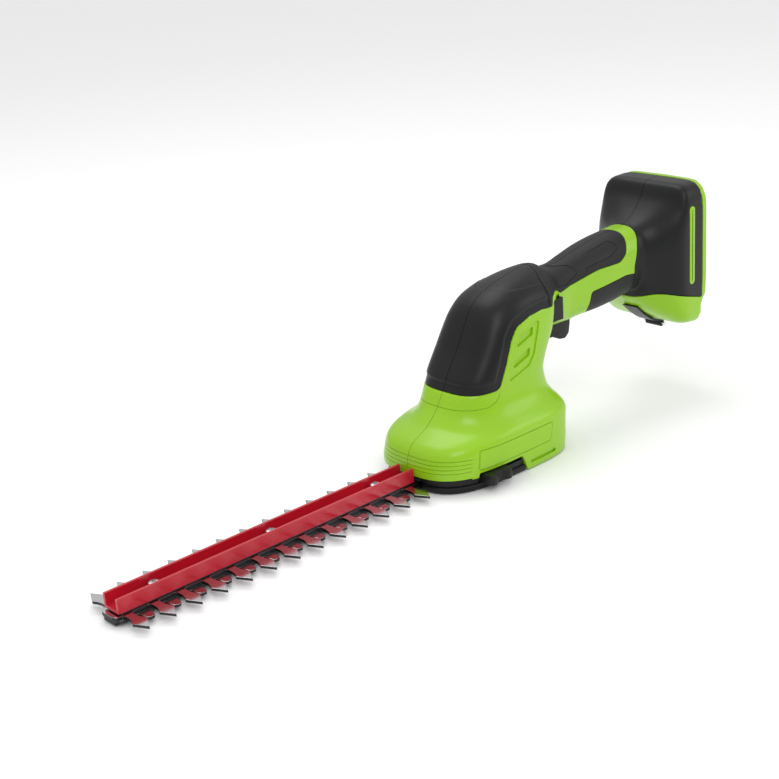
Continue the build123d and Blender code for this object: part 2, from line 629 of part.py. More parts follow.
CLIP_THICKNESS = 1.0
CLIP_GROOVE = 0.6
CLIP_GAP_HALF = 1.2
BUSH_FLANGE = 0.6
axle_top = PLATE_TOP + 3.5
clip_bottom = PLATE_TOP + 0.6
clip_top = clip_bottom + CLIP_THICKNESS
groove = ring(0, 0, AXLE_R + 1, AXLE_R - CLIP_GROOVE, clip_bottom - 0.1, clip_top + 0.1)
write("gear_axle", disc(0, 0, AXLE_R, GEAR_BOTTOM - 1, axle_top) - groove)
clip = ring(0, 0, AXLE_R + 1.6, AXLE_R - CLIP_GROOVE + 0.1, clip_bottom, clip_top)
write("axle_clip", clip - box((0, 8), (-CLIP_GAP_HALF, CLIP_GAP_HALF), (0, 60)))
bush_bottom = PLATE_BOTTOM - BUSH_FLANGE
bush = ring(0, 0, BUSH_R, AXLE_R + RUN_GAP, bush_bottom, PLATE_TOP)
bush += ring(0, 0, BUSH_R + 1.5, AXLE_R + RUN_GAP, bush_bottom, PLATE_BOTTOM)
write("axle_bush", bush)

# ---- Motor plate and motor ----
MOTOR_BOSS_R = 6.0
MOTOR_SCREW_Y = 9.6
MOTOR_SCREW_R = 1.5
MOTOR_SCREW_HEAD_R = 2.7
MOTOR_SCREW_HEAD = 1.8
SHELL_END = 3.0
plate = head(WALL + SLIDE_GAP) & box((-100, 100), (-60, 60), (PLATE_BOTTOM, PLATE_TOP))
plate -= disc(0, 0, BUSH_R + 0.02, 0, 60)
plate -= disc(MOTOR_X, 0, MOTOR_BOSS_R + 0.1, 0, 60)
can = disc(MOTOR_X, 0, MOTOR_R, PLATE_TOP, MOTOR_TOP)
can -= disc(MOTOR_X, 0, MOTOR_R - MOTOR_SHELL, PLATE_TOP + MOTOR_SHELL, MOTOR_TOP + 1)
can += disc(MOTOR_X, 0, MOTOR_BOSS_R, PLATE_BOTTOM + 0.3, PLATE_TOP + SHELL_END)
can -= disc(MOTOR_X, 0, MOTOR_SHAFT_R + RUN_GAP, 0, 60)
motor_screws = []
for sign in (-1, 1):
    y = sign * MOTOR_SCREW_Y
    hole = disc(MOTOR_X, y, MOTOR_SCREW_R + RUN_GAP, 0, 60)
    plate -= hole
    can -= hole
    screw = disc(MOTOR_X, y, MOTOR_SCREW_R, PLATE_BOTTOM, PLATE_TOP + SHELL_END)
    screw_head_bottom = PLATE_BOTTOM - MOTOR_SCREW_HEAD
    motor_screws.append(screw + disc(MOTOR_X, y, MOTOR_SCREW_HEAD_R, screw_head_bottom, PLATE_BOTTOM))
write("motor_plate", plate)
write("motor_can", can)
write("motor_screws", *motor_screws)

CORE_R = 13.6
MAGNET_THICKNESS = 2.6
MAGNET_GAP_HALF = 3.0
ROTOR_SLOTS = 5
ROTOR_SLOT_R = 2.6
COMMUTATOR_R = 4.5
CORE_BOTTOM = PLATE_TOP + 9.0
CORE_TOP = MOTOR_TOP - 14.0
END_CAP_TOP = MOTOR_TOP + 4.0
magnet_outer = MOTOR_R - MOTOR_SHELL
magnets = ring(MOTOR_X, 0, magnet_outer, magnet_outer - MAGNET_THICKNESS, CORE_BOTTOM, CORE_TOP)
magnets -= box((MOTOR_X - MAGNET_GAP_HALF, MOTOR_X + MAGNET_GAP_HALF), (-30, 30), (0, 100))
write("motor_magnets", magnets)
rotor = disc(MOTOR_X, 0, CORE_R, CORE_BOTTOM + 1, CORE_TOP - 1)
for i in range(ROTOR_SLOTS):
    slot_angle = 2 * pi * i / ROTOR_SLOTS
    slot_x = MOTOR_X + CORE_R * cos(slot_angle)
    slot_y = CORE_R * sin(slot_angle)
    rotor -= disc(slot_x, slot_y, ROTOR_SLOT_R, 0, 100)
rotor += disc(MOTOR_X, 0, COMMUTATOR_R, CORE_TOP - 2, MOTOR_TOP - 3)
rotor += disc(MOTOR_X, 0, MOTOR_SHAFT_R, pinion_bottom, MOTOR_TOP + 2)
write("motor_rotor", rotor)
cap_top = MOTOR_TOP + 2.5
end_cap = disc(MOTOR_X, 0, MOTOR_R, MOTOR_TOP, cap_top) + disc(MOTOR_X, 0, 5, MOTOR_TOP, END_CAP_TOP)
end_cap -= disc(MOTOR_X, 0, MOTOR_SHAFT_R + RUN_GAP, 0, cap_top - 0.1)
write("motor_end_cap", end_cap)
TAB_PLACE = 8.0
TAB_HALF = 2.4
tab_x = (MOTOR_X + TAB_PLACE, MOTOR_X + TAB_PLACE + 0.8)
tab_z = (cap_top, MOTOR_TOP + 8)
tabs = [box(tab_x, (y - TAB_HALF, y + TAB_HALF), tab_z) for y in (-TAB_PLACE, TAB_PLACE)]
write("motor_terminals", *tabs)

# ---- Trigger group ----
PIN_R = 1.5
TRIGGER_HUB_R = 3.4
BRACKET_IN = 7.0
BRACKET_OUT = 8.4
trigger_points = [
    (-1.5, 4.0), (-1.5, -13.5), (2, -16.5), (8, -18.7), (14, -20.5), (18, -21), (21.5, -20),
    (23.5, -17), (23.8, -12), (23.8, -2), (14, 0), (6, 4),
]
trigger = side([(TRIGGER_X + x, TRIGGER_Z + z) for x, z in trigger_points], -TRIGGER_HALF, TRIGGER_HALF)
trigger += rod_y(TRIGGER_X, TRIGGER_Z, TRIGGER_HUB_R, -TRIGGER_HALF, TRIGGER_HALF)
trigger -= rod_y(TRIGGER_X, TRIGGER_Z, PIN_R + RUN_GAP, -20, 20)
write("trigger", trigger)
write("trigger_pin", rod_y(TRIGGER_X, TRIGGER_Z, PIN_R, -BRACKET_OUT, BRACKET_OUT))
cavity = grip(WALL + SLIDE_GAP)
plate_x = (TRIGGER_X - 4.5, TRIGGER_X + 32)
bracket = box(plate_x, (-BRACKET_OUT, BRACKET_OUT), (TRIGGER_Z - 3.5, TRIGGER_Z + 20))
bracket -= box((plate_x[0] - 1, plate_x[1] + 1), (-BRACKET_IN, BRACKET_IN), (0, TRIGGER_Z + 18.5))
bracket -= box((plate_x[0] - 1, LOCK_X + 5), (-20, 20), (TRIGGER_Z + 4.6, 200))
wing_x = (TRIGGER_X + 25, TRIGGER_X + 27)
wing_z = (TRIGGER_Z - 3, TRIGGER_Z + 20)
bracket += box(wing_x, (BRACKET_IN, 30), wing_z)
bracket += box(wing_x, (-30, -BRACKET_IN), wing_z)
bracket -= rod_y(TRIGGER_X, TRIGGER_Z, PIN_R + RUN_GAP, -20, 20)
write("trigger_bracket", bracket & cavity)
SWITCH_X = (TRIGGER_X + 10, TRIGGER_X + 30)
switch = box(SWITCH_X, (-BRACKET_IN, BRACKET_IN), (TRIGGER_Z + 6.5, TRIGGER_Z + 18.5))
switch += disc(TRIGGER_X + 15, 0, 2, TRIGGER_Z + 3, TRIGGER_Z + 7)
write("trigger_switch", switch)
return_spring = coil(2.0, 0.4, 6.9, 5)
write("trigger_spring", Pos(TRIGGER_X + 21, 0, TRIGGER_Z - 0.4) * return_spring)

# ---- Lock-off bar with a paddle on each side ----
PADDLE_IN = 13.0
PADDLE_OUT = 19.6
BAR_R = 2.2
BAR_Z = LOCK_Z + 4.8
lock_bar = rod_y(LOCK_X - 1, BAR_Z, BAR_R, -PADDLE_IN - 1, PADDLE_IN + 1)
for sign in (-1, 1):
    paddle = lock_window(0.0, *sorted((sign * PADDLE_IN, sign * PADDLE_OUT)))
    outer_edges = paddle.faces().sort_by(Axis.Y)[0 if sign < 0 else -1].edges()
    lock_bar += fillet(outer_edges, 1.5)
write("lock_off_bar", lock_bar)
springs = []
for sign in (-1, 1):
    turn = Rot(-90 * sign, 0, 0)
    place = Pos(LOCK_X - 1, sign * (BRACKET_OUT + 0.2), BAR_Z)
    springs.append(place * turn * coil(BAR_R + 0.8, 0.4, PADDLE_IN - BRACKET_OUT - 0.4, 3))
write("lock_springs", *springs)

# ---- Dock tray, terminals, rim plate and strips ----
BAY_HALF = 26.0
BAY_BOTTOM = 62.0
BAY_TOP = 126.0
BAY_FLOOR_X = DOCK_REAR - 9.0
TRAY_WALL = 2.0
RIB_REACH = 2.5
RIB_HEIGHT = 4.0
RIB_PLACES = (76.0, 108.0)
rear_slab = box((DOCK_REAR - 2.5, DOCK_REAR), (-60, 60), (0, 200))
tray = dock(WALL + SLIDE_GAP) & rear_slab
tray += box((BAY_FLOOR_X - TRAY_WALL, DOCK_REAR), (-BAY_HALF - TRAY_WALL, BAY_HALF + TRAY_WALL),
            (BAY_BOTTOM - TRAY_WALL, BAY_TOP + TRAY_WALL))
tray -= box((BAY_FLOOR_X, DOCK_REAR + 1), (-BAY_HALF, BAY_HALF), (BAY_BOTTOM, BAY_TOP))
for sign in (-1, 1):
    rib_y = sorted((sign * BAY_HALF, sign * (BAY_HALF - RIB_REACH)))
    for z in RIB_PLACES:
        tray += box((BAY_FLOOR_X, DOCK_REAR), rib_y, (z, z + RIB_HEIGHT))
BOARD_X = BAY_FLOOR_X - TRAY_WALL - 2.0
BOARD_POST_Y = 15.0
for y in (-BOARD_POST_Y, BOARD_POST_Y):
    for z in (78, 110):
        tray += rod_x(y, z, 2.0, BOARD_X, BAY_FLOOR_X - TRAY_WALL)
write("dock_tray", tray)
write("control_board", box((BOARD_X - 1.6, BOARD_X), (-20, 20), (72, 116)))
BLOCK_DEPTH = 3.5
BLOCK_HALF = 16.0
TERMINAL_PITCH = 8.0
TERMINAL_HALF = 0.4
block_z = (98.0, 122.0)
write("terminal_block", box((BAY_FLOOR_X, BAY_FLOOR_X + BLOCK_DEPTH), (-BLOCK_HALF, BLOCK_HALF), block_z))
blade_x = (BAY_FLOOR_X + BLOCK_DEPTH, DOCK_REAR)
terminals = []
for i in range(4):
    y = (i - 1.5) * TERMINAL_PITCH
    terminals.append(box(blade_x, (y - TERMINAL_HALF, y + TERMINAL_HALF), (102, 118)))
write("terminals", *terminals)

rim_face = Face(cross_loop(DOCK_REAR, DOCK_TOP + 0.3, DOCK_PLATE_BOTTOM, DOCK_HALF + 0.4, 6.0, 0))
rim = extrude(rim_face, amount=DOCK_PLATE, dir=(1, 0, 0))
rim -= box((DOCK_REAR - 1, DOCK_REAR + 10), (-BAY_HALF, BAY_HALF), (BAY_BOTTOM, BAY_TOP))
write("dock_rim", rim)
write("dock_strip_right", strip(STRIP_HALF, -DOCK_HALF - 0.5, -31.0))
write("dock_strip_left", strip(STRIP_HALF, 31.0, DOCK_HALF + 0.5))

# ---- Battery latch under the dock ----
LATCH_PIN_X = DOCK_REAR - 6.0
LATCH_PIN_Z = 40.4
LATCH_PIN_R = 1.2
LATCH_BOSS_R = 2.4
LATCH_THICKNESS = 1.6
latch_zone = box((GRIP_END, LATCH_PIN_X), (-BATTERY_LATCH_HALF, BATTERY_LATCH_HALF), (30, 58))
latch = (dock(-LATCH_THICKNESS - FIT_GAP) - dock(-FIT_GAP)) & latch_zone
latch_boss = rod_y(LATCH_PIN_X, LATCH_PIN_Z, LATCH_BOSS_R, -BATTERY_LATCH_HALF, BATTERY_LATCH_HALF)
latch += latch_boss - dock(-FIT_GAP)
latch -= rod_y(LATCH_PIN_X, LATCH_PIN_Z, LATCH_PIN_R + RUN_GAP, -20, 20)
write("battery_latch", latch)
ear_y = BATTERY_LATCH_HALF + FIT_GAP
write("battery_latch_pin", rod_y(LATCH_PIN_X, LATCH_PIN_Z, LATCH_PIN_R, -ear_y - 2, ear_y + 2))
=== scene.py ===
import json
import math

import bmesh
import bpy
import numpy as np
from mathutils import Matrix, Vector


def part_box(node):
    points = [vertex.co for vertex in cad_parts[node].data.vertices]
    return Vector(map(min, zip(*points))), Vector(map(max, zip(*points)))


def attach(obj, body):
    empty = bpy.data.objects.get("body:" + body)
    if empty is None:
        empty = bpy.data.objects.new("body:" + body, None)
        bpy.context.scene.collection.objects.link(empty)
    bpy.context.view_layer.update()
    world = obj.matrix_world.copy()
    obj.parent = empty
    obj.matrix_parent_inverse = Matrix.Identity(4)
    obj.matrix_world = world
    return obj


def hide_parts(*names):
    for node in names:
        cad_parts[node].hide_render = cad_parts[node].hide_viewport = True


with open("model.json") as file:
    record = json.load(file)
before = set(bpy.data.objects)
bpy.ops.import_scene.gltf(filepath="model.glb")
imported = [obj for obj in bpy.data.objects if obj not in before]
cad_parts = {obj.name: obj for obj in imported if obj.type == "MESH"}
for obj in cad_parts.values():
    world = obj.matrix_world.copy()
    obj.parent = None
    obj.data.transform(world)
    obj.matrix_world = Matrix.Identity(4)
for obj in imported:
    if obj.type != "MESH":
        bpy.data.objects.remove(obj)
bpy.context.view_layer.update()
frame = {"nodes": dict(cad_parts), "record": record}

# ------------------------------------------------------------------------------------------
# Moulded body form
# The housing, motor cover, grip and battery dock are one flowing moulded shape. It is laid up
# here from cross sections, as a pattern maker would, and the covers are later parted from it.
# All sizes in this file are millimetres, and mm() brings them to metres.


def mm(*values):
    return Vector(values) * 0.001


def ease(table, at):
    """Smooth values between the rows of a table, without overshoot, at one place along it."""
    rows = np.array(table, float)
    x, y = rows[:, 0], rows[:, 1:]
    step = np.diff(x)[:, None]
    rise = np.diff(y, axis=0) / step
    slope = np.zeros_like(y)
    slope[0], slope[-1] = rise[0], rise[-1]
    both = rise[:-1] * rise[1:] > 0
    mean = 2 * rise[:-1] * rise[1:] / np.where(both, rise[:-1] + rise[1:], 1)
    slope[1:-1] = np.where(both, mean, 0)
    i = int(np.clip(np.searchsorted(x, at) - 1, 0, len(x) - 2))
    h = step[i, 0]
    t = (at - x[i]) / h
    out = (2 * t**3 - 3 * t**2 + 1) * y[i] + (t**3 - 2 * t**2 + t) * h * slope[i]
    return out + (3 * t**2 - 2 * t**3) * y[i + 1] + (t**3 - t**2) * h * slope[i + 1]


def squircle(angle, power):
    """Cosine and sine of a superellipse."""
    c, s = math.cos(angle), math.sin(angle)
    return math.copysign(abs(c) ** (2 / power), c), math.copysign(abs(s) ** (2 / power), s)


# height, front, rear, half width, squareness in front, squareness behind
HEAD = [
    (0, -48.0, 60.0, 36.8, 3.1, 4.5), (12, -50.2, 60.0, 38.2, 3.1, 4.5), (20, -48.8, 60.0, 38.3, 3.0, 4.5),
    (24, -47.0, 60.2, 38.3, 3.0, 4.5), (27, -44.3, 60.4, 38.3, 2.9, 4.5), (29.5, -40.5, 60.2, 37.6, 2.6, 4.3),
    (33, -33.0, 58.8, 34.8, 2.2, 4.0), (37, -28.2, 56.4, 31.2, 2.3, 3.6), (41.7, -23.8, 54.4, 28.4, 2.7, 3.4),
    (50.8, -18.4, 53.6, 26.4, 3.3, 3.2), (58.6, -13.9, 56.2, 26.2, 3.6, 3.0),
    (72.9, -4.3, 63.0, 26.0, 3.7, 3.0),
    (85.7, 3.1, 69.0, 25.0, 3.6, 3.0), (93, 7.4, 72.0, 23.5, 3.2, 3.0), (97.3, 11.2, 72.6, 22.0, 2.9, 2.8),
    (102.2, 18.8, 71.5, 18.0, 2.5, 2.6), (105.5, 28.0, 69.0, 13.8, 2.3, 2.3),
    (108.1, 41.5, 66.0, 9.0, 2.1, 2.1),
    (109.9, 53.0, 63.5, 4.0, 2.0, 2.0),
]
# place along X, top, bottom, half width, squareness
GRIP = [
    (55, 101.0, 70.0, 17.5, 2.6), (72, 104.4, 68.0, 16.4, 2.6), (82.7, 104.6, 67.4, 14.8, 2.6),
    (95.8, 107.2, 68.0, 15.5, 2.6), (111.4, 110.3, 68.2, 17.0, 2.6), (126.1, 112.2, 69.0, 17.6, 2.6),
    (140.9, 113.2, 71.0, 17.6, 2.6), (154, 114.3, 73.0, 17.6, 2.6), (162, 115.0, 74.0, 17.6, 2.6),
]
DOCK = [
    (150, 113.5, 66.0, 17.5, 2.6), (157, 117.0, 59.0, 24.0, 3.0), (162, 120.8, 54.5, 29.5, 3.5),
    (166, 124.8, 51.5, 32.6, 4.2), (169.5, 129.2, 49.3, 33.9, 5.2), (172, 134.6, 47.6, 34.1, 6.5),
    (174, 137.2, 46.4, 34.2, 7.5), (178, 138.2, 44.6, 34.2, 8.0), (189, 138.4, 43.0, 34.2, 8.0),
]


def head_ring(z, inset=0.0, count=128):
    front, rear, half, fore, aft = ease(HEAD, z)
    points = []
    for i in range(count):
        angle = 2 * math.pi * i / count
        c, s = squircle(angle, aft if math.cos(angle) > 0 else fore)
        points.append(((front + rear) / 2 + ((rear - front) / 2 - inset) * c, (half - inset) * s, z))
    return points


def cross_ring(table, x, inset=0.0, count=96):
    top, bottom, half, power = ease(table, x)
    points = []
    for i in range(count):
        c, s = squircle(2 * math.pi * i / count, power)
        points.append((x, (half - inset) * c, (top + bottom) / 2 + ((top - bottom) / 2 - inset) * s))
    return points


def piece_from(name, points, faces):
    """A new object from points in millimetres."""
    mesh = bpy.data.meshes.new(name)
    mesh.from_pydata([Vector(p) * 0.001 for p in points], [], faces)
    piece = bpy.data.objects.new(name, mesh)
    bpy.context.collection.objects.link(piece)
    tidy = bmesh.new()
    tidy.from_mesh(mesh)
    bmesh.ops.recalc_face_normals(tidy, faces=tidy.faces)
    tidy.to_mesh(mesh)
    tidy.free()
    return piece


def skin_over(name, rings):
    """A closed skin over rings of equal count, closed flat at both ends."""
    count = len(rings[0])
    points = [p for ring in rings for p in ring]
    faces = []
    for r in range(len(rings) - 1):
        for i in range(count):
            j = (i + 1) % count
            faces.append((r * count + i, r * count + j, (r + 1) * count + j, (r + 1) * count + i))
    faces.append(tuple(range(count)))
    faces.append(tuple((len(rings) - 1) * count + i for i in range(count)))
    return piece_from(name, points, faces)


def settle(piece):
    """Apply a piece's modifiers to its mesh."""
    graph = bpy.context.evaluated_depsgraph_get()
    mesh = bpy.data.meshes.new_from_object(piece.evaluated_get(graph))
    old = piece.data
    piece.modifiers.clear()
    piece.data = mesh
    mesh.name = piece.name
    bpy.data.meshes.remove(old)
    return piece


def remove(*pieces):
    for piece in pieces:
        bpy.data.objects.remove(piece)


def joined(name, pieces):
    """Several pieces as one."""
    mesh = bpy.data.meshes.new(name)
    build = bmesh.new()
    for piece in pieces:
        build.from_mesh(piece.data)
    build.to_mesh(mesh)
    build.free()
    result = bpy.data.objects.new(name, mesh)
    bpy.context.collection.objects.link(result)
    remove(*pieces)
    return result


def solid_size(mesh):
    """Volume of a closed mesh, its count of open edges and its three lengths added up."""
    build = bmesh.new()
    build.from_mesh(mesh)
    places = np.array([v.co for v in build.verts]) if build.verts else np.zeros((1, 3))
    lengths = float((places.max(axis=0) - places.min(axis=0)).sum())
    result = build.calc_volume(), sum(not edge.is_manifold for edge in build.edges), lengths
    build.free()
    return result


CUT_TRIES = 6
RAGGED_EDGES_LET_PASS = 8


def boolean(piece, cutter, operation):
    """Cut or join; a cut that goes wrong on faces that coincide is tried again, moved by a hair."""
    before, ragged, span = solid_size(piece.data)
    uncut = piece.data
    for _ in range(CUT_TRIES):
        piece.data = uncut.copy()
        step = piece.modifiers.new("cut", "BOOLEAN")
        step.object = cutter
        step.operation = operation
        step.solver = "EXACT"
        settle(piece)
        after, open_edges, reach = solid_size(piece.data)
        kept = 0 < after < before * 1.0001 and reach < span + 0.0001
        if open_edges <= ragged + RAGGED_EDGES_LET_PASS and (operation == "UNION" or kept):
            break
        cutter.data.transform(Matrix.Translation(mm(0.013, 0, 0.009)))
    remove(cutter)
    return piece


def copy_of(piece, name):
    result = bpy.data.objects.new(name, piece.data.copy())
    bpy.context.collection.objects.link(result)
    return result


SKIN_VOXEL = 1.0
WALL = 2.5


def body_form(name, inset, spacing):
    heights = list(np.arange(-1 if inset else 0, HEAD[-1][0] - inset, spacing))
    head = skin_over("head", [head_ring(z, inset) for z in heights + [HEAD[-1][0] - inset]])
    grip_places = list(np.arange(57, 162, spacing))
    grip = skin_over("grip", [cross_ring(GRIP, x, inset) for x in grip_places])
    dock_places = list(np.arange(150 + inset, 189, spacing)) + [189 + (1 if inset else 0)]
    dock = skin_over("dock", [cross_ring(DOCK, min(x, 189), inset) if x <= 189 else
                              [(x, y, z) for _, y, z in cross_ring(DOCK, 189, inset)] for x in dock_places])
    return joined(name, [head, grip, dock])


def fused(piece, voxel):
    """Overlapping closed skins as one skin."""
    fuse = piece.modifiers.new("one skin", "REMESH")
    fuse.mode = "VOXEL"
    fuse.voxel_size = voxel * 0.001
    return settle(piece)


body = fused(body_form("body", 0.0, 1.0), SKIN_VOXEL)
whole = body.vertex_groups.new(name="joints of the form")
for vertex in body.data.vertices:
    x, z = vertex.co.x * 1000, vertex.co.z * 1000
    neck = math.exp(-((x - 72) / 9) ** 2) if z > 60 else 0
    flare = math.exp(-((x - 156) / 10) ** 2)
    whole.add([vertex.index], max(neck, flare), "REPLACE")
for group, repeats in (("joints of the form", 40), ("", 4)):
    smooth = body.modifiers.new("soften", "SMOOTH")
    smooth.factor = 0.5
    smooth.iterations = repeats
    smooth.vertex_group = group
settle(body)
hollow = fused(body_form("hollow", WALL, 3.0), 3 * SKIN_VOXEL)


# ------------------------------------------------------------------------------------------
# Finishes of the moulded parts
# Glossy lime green polypropylene, black glass-filled nylon with a fine spark-eroded texture,
# and soft black rubber. Each has its grain as bump and a little uneven colour.


def finish(name, colour, roughness, metallic=0.0, coat=0.0, gleam=0.4):
    material = bpy.data.materials.new(name)
    material.use_nodes = True
    shader = material.node_tree.nodes["Principled BSDF"]
    shader.inputs["Base Color"].default_value = (*colour, 1)
    shader.inputs["Roughness"].default_value = roughness
    shader.inputs["Metallic"].default_value = metallic
    shader.inputs["Coat Weight"].default_value = coat
    shader.inputs["Specular IOR Level"].default_value = gleam
    return material


def place_noise(material, scale, detail=4.0, stretch=(1, 1, 1)):
    """Noise fixed to the piece, with an optional stretch, as a node output."""
    tree = material.node_tree
    place = tree.nodes.new("ShaderNodeTexCoord")
    mapping = tree.nodes.new("ShaderNodeMapping")
    mapping.inputs["Scale"].default_value = stretch
    noise = tree.nodes.new("ShaderNodeTexNoise")
    noise.inputs["Scale"].default_value = scale
    noise.inputs["Detail"].default_value = detail
    tree.links.new(place.outputs["Object"], mapping.inputs["Vector"])
    tree.links.new(mapping.outputs["Vector"], noise.inputs["Vector"])
    return noise.outputs["Fac"]


def add_grain(material, scale, height, stretch=(1, 1, 1)):
    """Fine surface grain, as bump."""
    tree = material.node_tree
    bump = tree.nodes.new("ShaderNodeBump")
    bump.inputs["Strength"].default_value = 1.0
    bump.inputs["Distance"].default_value = height * 0.001
    tree.links.new(place_noise(material, scale, 3.0, stretch), bump.inputs["Height"])
    tree.links.new(bump.outputs["Normal"], tree.nodes["Principled BSDF"].inputs["Normal"])


def add_uneven(material, scale, socket, low, high):
    """A slow change of colour or of gloss over the surface."""
    tree = material.node_tree
    ramp = tree.nodes.new("ShaderNodeValToRGB")
    ramp.color_ramp.elements[0].position = 0.35
    ramp.color_ramp.elements[1].position = 0.65
    ramp.color_ramp.elements[0].color = (*low, 1)
    ramp.color_ramp.elements[1].color = (*high, 1)
    tree.links.new(place_noise(material, scale), ramp.inputs["Fac"])
    tree.links.new(ramp.outputs["Color"], tree.nodes["Principled BSDF"].inputs[socket])


GREEN = (0.27, 0.53, 0.006)
green = finish("green_plastic", GREEN, 0.3, coat=0.12)
add_grain(green, 900, 0.012)
add_uneven(green, 14, "Base Color", tuple(c * 0.97 for c in GREEN), tuple(c * 1.03 for c in GREEN))
black = finish("black_plastic", (0.008, 0.0083, 0.0088), 0.36, gleam=0.26)
add_grain(black, 1600, 0.03)
add_uneven(black, 18, "Base Color", (0.0068, 0.0071, 0.0076), (0.0095, 0.0098, 0.0103))
rubber = finish("soft_grip", (0.009, 0.0092, 0.0096), 0.5, gleam=0.3)
add_grain(rubber, 2200, 0.05)
add_uneven(rubber, 20, "Base Color", (0.0078, 0.008, 0.0084), (0.0112, 0.0115, 0.012))


def dress(piece, material, body_name, slot_name, *stands_for):
    """Give a piece its finish, its body and the CAD nodes that it stands for; slot_name is not used."""
    piece.data.materials.clear()
    piece.data.materials.append(material)
    for face in piece.data.polygons:
        face.use_smooth = True
        face.material_index = 0
    piece.data.set_sharp_from_angle(angle=math.radians(32))
    if stands_for:
        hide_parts(*stands_for)
    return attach(piece, body_name)


# ------------------------------------------------------------------------------------------
# Parting the form into its covers
# The right half is parted and detailed, and the left half is its mirror image. Each cover's
# edge is drawn from the side; a fine gap runs between neighbours, as on the real mouldings.
PARTING = 0.3


def rounded(corners, steps=7):
    """A closed outline from corners (x, z, radius), with an arc at each corner."""
    outline = []
    for i, (x, z, radius) in enumerate(corners):
        here = Vector((x, z))
        before = Vector(corners[i - 1][:2]) - here
        after = Vector(corners[(i + 1) % len(corners)][:2]) - here
        half = before.angle(after) / 2
        if radius == 0 or abs(half - math.pi / 2) < 0.01:
            outline.append((x, z))
            continue
        back = min(radius / math.tan(half), before.length * 0.49, after.length * 0.49)
        start, end = here + before.normalized() * back, here + after.normalized() * back
        for k in range(steps + 1):
            t = k / steps
            outline.append(tuple((1 - t) ** 2 * start + 2 * t * (1 - t) * here + t**2 * end))
    return outline


def drawn_in(outline, gap):
    """The same outline, moved inwards by a gap."""
    area = sum(a[0] * b[1] - b[0] * a[1] for a, b in zip(outline, outline[1:] + outline[:1]))
    turn = 1 if area > 0 else -1
    result = []
    for i, point in enumerate(outline):
        a = Vector(point) - Vector(outline[i - 1])
        b = Vector(outline[(i + 1) % len(outline)]) - Vector(point)
        normal = (a.normalized() + b.normalized()).normalized()
        shift = Vector((-normal.y, normal.x)) * gap * turn / max(0.5, normal.dot(a.normalized()))
        result.append((point[0] + shift.x, point[1] + shift.y))
    return result


def side_block(name, outline, low=-60.0, high=60.0):
    """An outline in X and Z, carried across in Y."""
    count = len(outline)
    points = [(x, low, z) for x, z in outline] + [(x, high, z) for x, z in outline]
    faces = [tuple(range(count)), tuple(range(count, 2 * count))]
    faces += [(i, (i + 1) % count, count + (i + 1) % count, count + i) for i in range(count)]
    return piece_from(name, points, faces)


def block(name, x, y, z):
    return side_block(name, [(x[0], z[0]), (x[1], z[0]), (x[1], z[1]), (x[0], z[1])], *y)


COVER = [(-60, 51.3, 0), (-9, 51.0, 0), (3.6, 51.4, 7), (9.6, 63.5, 12), (15.6, 77.5, 12), (21.0, 84.6, 10),
         (33, 88.4, 14), (44, 89.4, 0), (51.8, 88.6, 1), (52.0, 104, 5), (58.5, 111.5, 2), (58.5, 130, 0),
         (-60, 130, 0)]
SOFT_GRIP = [(51.8, 88.6, 1), (54.4, 88.8, 1.5), (56.0, 93.8, 3), (60.6, 96.4, 4), (65.4, 94.6, 3),
             (69.5, 91.6, 8),
             (87, 93.8, 20), (107, 97.3, 20), (126, 97.4, 6), (132.5, 101, 8), (139.5, 113.5, 0),
             (139.5, 130, 0),
             (58.5, 130, 0), (58.5, 111.5, 2), (52.0, 104, 5)]
LOWER_GRIP = [(103, 60, 0), (98.5, 74, 4), (99.5, 84.6, 3), (112, 86.0, 14), (131, 88.0, 14),
              (139.8, 87.0, 0),
              (139.8, 60, 0)]
DOCK_COVER = [(139.8, 60, 0), (139.8, 92.0, 6), (144.5, 104.6, 10), (151.7, 117, 4), (151.7, 150, 0),
              (195, 150, 0), (195, 60.5, 0), (157, 70.5, 30), (148, 66, 0)]
DOCK_BASE = [(139.8, 60, 0), (148, 66, 0), (157, 70.5, 30), (195, 60.5, 0), (195, 30, 0), (139.8, 30, 0)]

# The cover stands a little proud of the flat flange that runs along its edge.
FLANGE = 5.4
flange_line = [Vector(p) for p in rounded(COVER) if p[1] < 100]


def off_line(point, line):
    """Distance from a point to the nearest part of a line, in the side view."""
    nearest = 1e9
    for start, end in zip(line, line[1:]):
        along = end - start
        t = max(0, min(1, (point - start).dot(along) / along.length_squared))
        nearest = min(nearest, (point - start - along * t).length)
    return nearest


def inside(point, outline):
    crossings = 0
    for (x0, z0), (x1, z1) in zip(outline, outline[1:] + outline[:1]):
        if (z0 > point.y) != (z1 > point.y) and point.x < (x1 - x0) * (point.y - z0) / (z1 - z0) + x0:
            crossings += 1
    return crossings % 2 == 1


normals = [v.normal.copy() for v in body.data.vertices]
cover_outline = rounded(COVER)
for vertex, normal in zip(body.data.vertices, normals):
    place = Vector((vertex.co.x, vertex.co.z)) * 1000
    if place.x < 51 and 50 < place.y < 103 and inside(place, cover_outline):
        share = min(1, max(0, (off_line(place, flange_line) - FLANGE + 0.9) / 1.8))
        vertex.co += normal * 0.001 * (0.8 * (3 - 2 * share) * share**2 - 0.4)


def skin_at(depth):
    """The whole form's surface, moved in by a depth, or out where that is below nought."""
    result = copy_of(form, "skin at a depth")
    for vertex, normal in zip(result.data.vertices, form_normals):
        vertex.co -= normal * depth * 0.001
    return result


